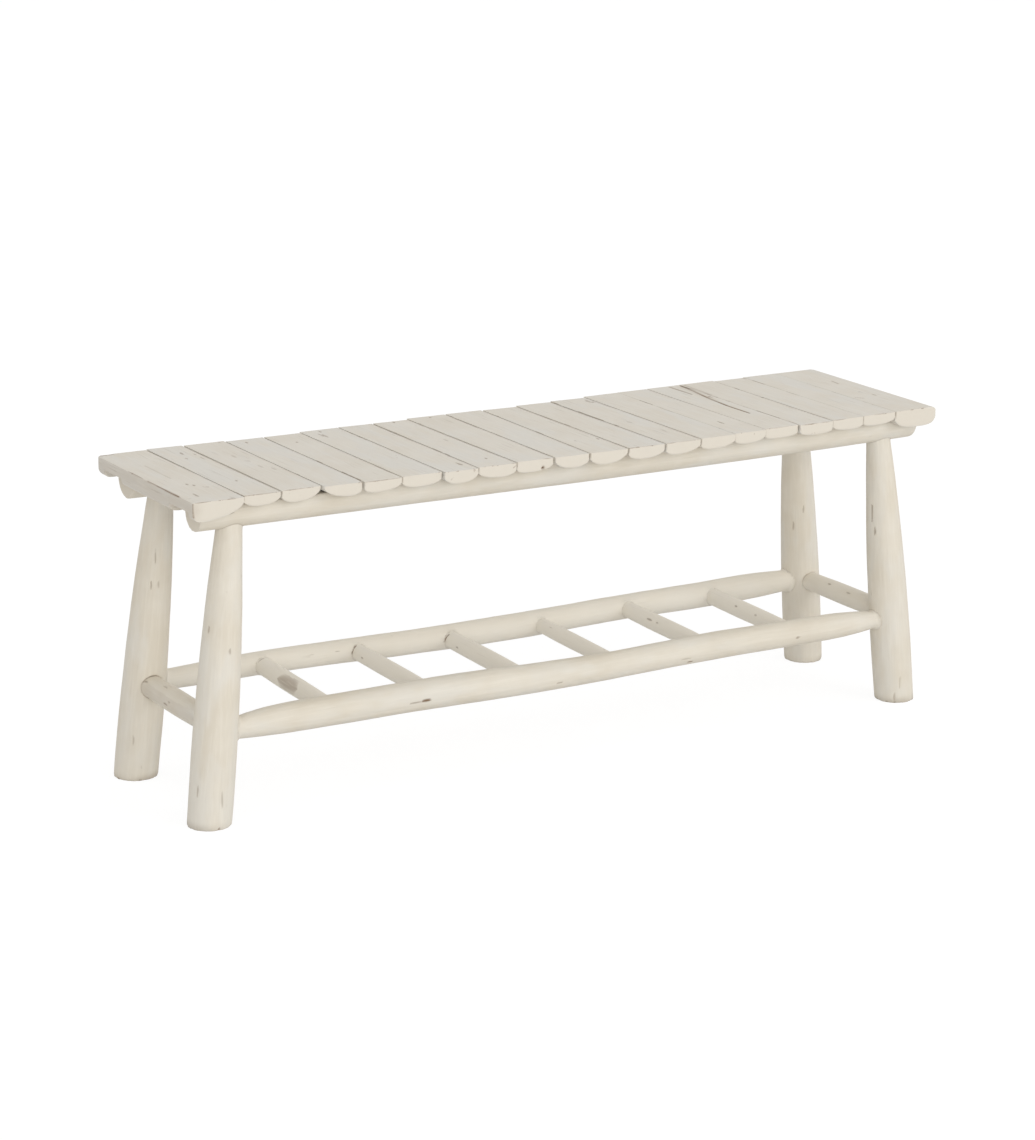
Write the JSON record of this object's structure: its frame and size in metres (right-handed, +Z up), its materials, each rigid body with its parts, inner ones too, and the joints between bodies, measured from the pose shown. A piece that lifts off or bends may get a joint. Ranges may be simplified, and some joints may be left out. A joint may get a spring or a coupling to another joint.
{
  "type": "wooden bench",
  "caption": "Rustic free-standing bench of whitewashed half-round slats on two half-round rails, with splayed tapered log legs and a low rack of poles and rungs.",
  "frame": {"origin": "on the floor under the middle of the bench", "axes": "+X along the seat, to the right seen from the front; -Y is the front; +Z up"},
  "size_m": [1.2004, 0.312, 0.45],
  "materials": {
    "painted_slat": "matt cream paint, worn at the edges",
    "painted_pole": "matt cream paint over peeled wood",
    "nail_steel": "dull, painted over",
    "screw_steel": "dull zinc"
  },
  "bodies": {
    "root": {"seat_slat_01": "painted_slat", "seat_slat_02": "painted_slat", "seat_slat_03": "painted_slat", "seat_slat_04": "painted_slat", "seat_slat_05": "painted_slat", "seat_slat_06": "painted_slat", "seat_slat_07": "painted_slat", "seat_slat_08": "painted_slat", "seat_slat_09": "painted_slat", "seat_slat_10": "painted_slat", "seat_slat_11": "painted_slat", "seat_slat_12": "painted_slat", "seat_slat_13": "painted_slat", "seat_slat_14": "painted_slat", "seat_slat_15": "painted_slat", "seat_slat_16": "painted_slat", "seat_slat_17": "painted_slat", "seat_slat_18": "painted_slat", "seat_slat_19": "painted_slat", "seat_slat_20": "painted_slat", "front_rail": "painted_pole", "back_rail": "painted_pole", "front_left_leg": "painted_pole", "front_right_leg": "painted_pole", "back_left_leg": "painted_pole", "back_right_leg": "painted_pole", "front_stretcher": "painted_pole", "back_stretcher": "painted_pole", "left_end_stretcher": "painted_pole", "right_end_stretcher": "painted_pole", "rack_rung_1": "painted_pole", "rack_rung_2": "painted_pole", "rack_rung_3": "painted_pole", "rack_rung_4": "painted_pole", "rack_rung_5": "painted_pole", "rack_rung_6": "painted_pole", "slat_nails": "nail_steel", "leg_screws": "screw_steel"}
  },
  "joints": []
}
